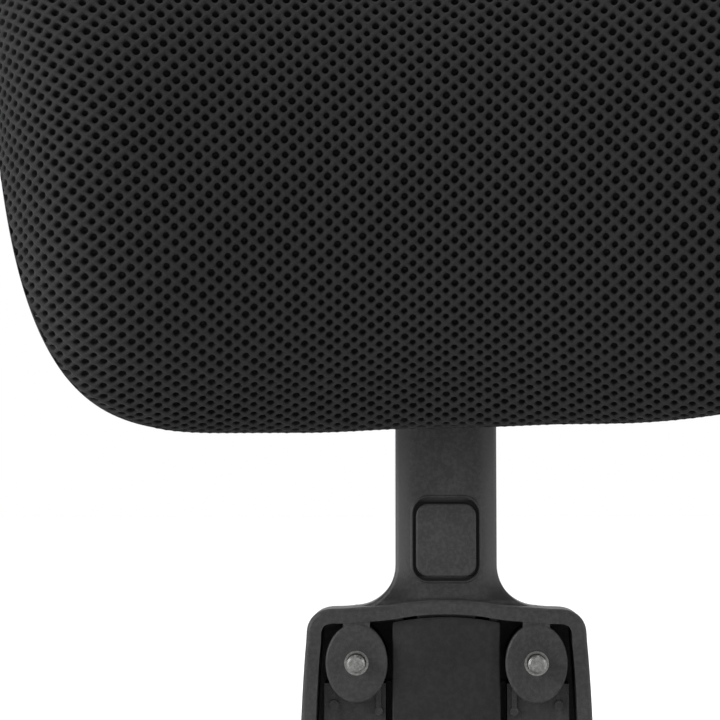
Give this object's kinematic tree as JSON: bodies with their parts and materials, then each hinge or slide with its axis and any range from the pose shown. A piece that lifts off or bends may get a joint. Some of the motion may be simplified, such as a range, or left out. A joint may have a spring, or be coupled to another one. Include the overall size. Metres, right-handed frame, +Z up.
{
  "type": "chair headrest attachment",
  "caption": "Padded mesh headrest on a height-adjustable post, with a friction hinge, a push-button latch and a bolt-on bracket for the rear of a chair.",
  "frame": {"origin": "centre of the four mounting bolts, on the bracket's front bearing plane", "axes": "-Y towards the sitter, out of the bearing plane; +Z up along the post; +X towards the sitter's left"},
  "size_m": [0.2858, 0.1203, 0.3386],
  "materials": {
    "frame_plastic": "satin",
    "button_plastic": "satin",
    "bush_plastic": "satin",
    "hinge_plastic": "satin",
    "carrier_plastic": "matte",
    "shell_plastic": "satin",
    "strip_plastic": "satin",
    "nylon": "satin",
    "painted_steel": "satin",
    "zinc_steel": "satin",
    "dark_steel": "satin",
    "spring_steel": "satin",
    "foam": "matte",
    "mesh_fabric": "matte"
  },
  "bodies": {
    "mount": {"mount_frame": "frame_plastic", "channel_cover": "frame_plastic", "rear_cover": "frame_plastic", "bolt_sleeves": "zinc_steel", "mounting_bolts": "zinc_steel", "bolt_washers": "zinc_steel", "cover_screws": "dark_steel", "upper_guide_bush": "bush_plastic", "lower_guide_bush": "bush_plastic", "latch_spring": "spring_steel"},
    "latch": {"release_button": "button_plastic", "latch_stirrup": "bush_plastic"},
    "post": {"post": "painted_steel", "end_stop_pin": "zinc_steel", "hinge_bush": "bush_plastic"},
    "headrest": {"hinge_bracket": "hinge_plastic", "hinge_bolt": "dark_steel", "hinge_nut": "dark_steel", "friction_washers": "nylon", "spring_washers": "spring_steel", "hinge_cap_left": "button_plastic", "hinge_cap_right": "button_plastic", "hinge_screws": "dark_steel", "pad_carrier": "carrier_plastic", "foam_cushion": "foam", "mesh_cover": "mesh_fabric", "edge_strip": "strip_plastic", "back_shell": "shell_plastic", "shell_screws": "dark_steel"}
  },
  "joints": [
    {"name": "button_press", "type": "slide", "parent": "mount", "child": "latch", "axis": [0, 1, 0], "range_m": [0, 0.0018], "stiffness_N_per_m": 1500, "springref_m": -0.002, "deforming": ["latch_spring"]},
    {"name": "post_height", "type": "slide", "parent": "mount", "child": "post", "axis": [0, 0, 1], "range_m": [0, 0.05]},
    {"name": "headrest_tilt", "type": "hinge", "parent": "post", "child": "headrest", "pos_m": [0, 0.0115, 0.192], "axis": [1, 0, 0], "range_deg": [-30, 10]}
  ]
}
